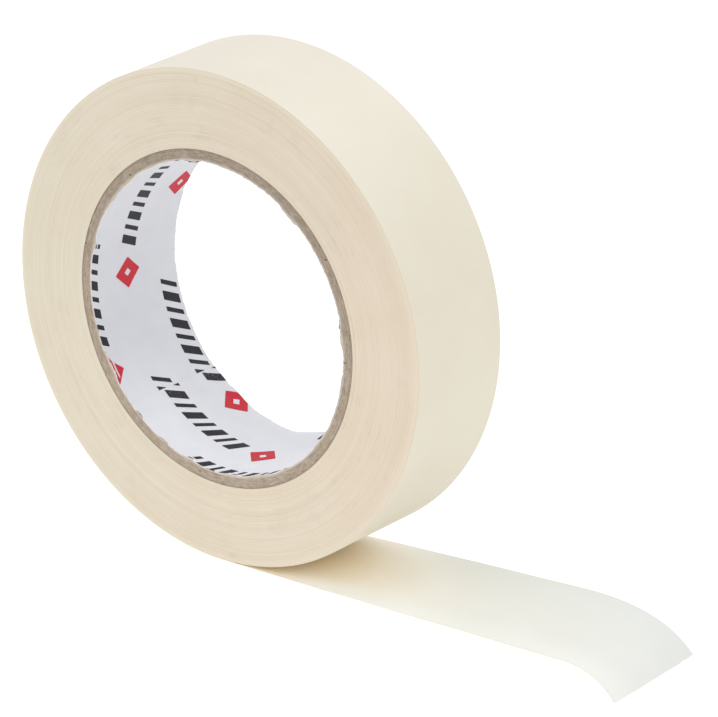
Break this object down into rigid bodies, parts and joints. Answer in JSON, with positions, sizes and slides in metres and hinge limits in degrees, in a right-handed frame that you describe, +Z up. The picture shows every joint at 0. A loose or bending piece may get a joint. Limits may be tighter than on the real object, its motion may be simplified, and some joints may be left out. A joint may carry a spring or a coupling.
{
  "type": "masking tape roll",
  "caption": "Roll of crepe paper masking tape wound on a board core with a printed paper liner, standing on its tread with a short free tail of tape.",
  "frame": {"origin": "the middle of the flat that the roll stands on, straight under the roll's centre", "axes": "+X along the surface, the way the free tail of tape points; +Y along the roll's axis, from the face nearer the viewer to the far one; +Z up"},
  "size_m": [0.1774, 0.03, 0.12],
  "materials": {
    "liner_paper": "satin",
    "core_board": "matte",
    "crepe_paper": "matte",
    "adhesive_coat": "satin"
  },
  "bodies": {
    "roll": {"core_liner": "liner_paper", "core_ply_1": "core_board", "core_ply_2": "core_board", "core_ply_3": "core_board", "core_ply_4": "core_board", "core_ply_5": "core_board", "tape_pack": "crepe_paper"},
    "tail_root": {"tail_paper_root": "crepe_paper", "tail_adhesive_root": "adhesive_coat"},
    "tail_tip": {"tail_paper_tip": "crepe_paper", "tail_adhesive_tip": "adhesive_coat"}
  },
  "joints": [
    {"name": "unwind", "type": "hinge", "parent": "roll", "child": "tail_root", "pos_m": [0, 0, 0.06], "axis": [0, 1, 0], "continuous": true},
    {"name": "tail_flex", "type": "hinge", "parent": "tail_root", "child": "tail_tip", "pos_m": [0.05982, 0, 0.00452], "axis": [0.0052, -0.9977, -0.0675], "range_deg": [-60, 75]}
  ]
}
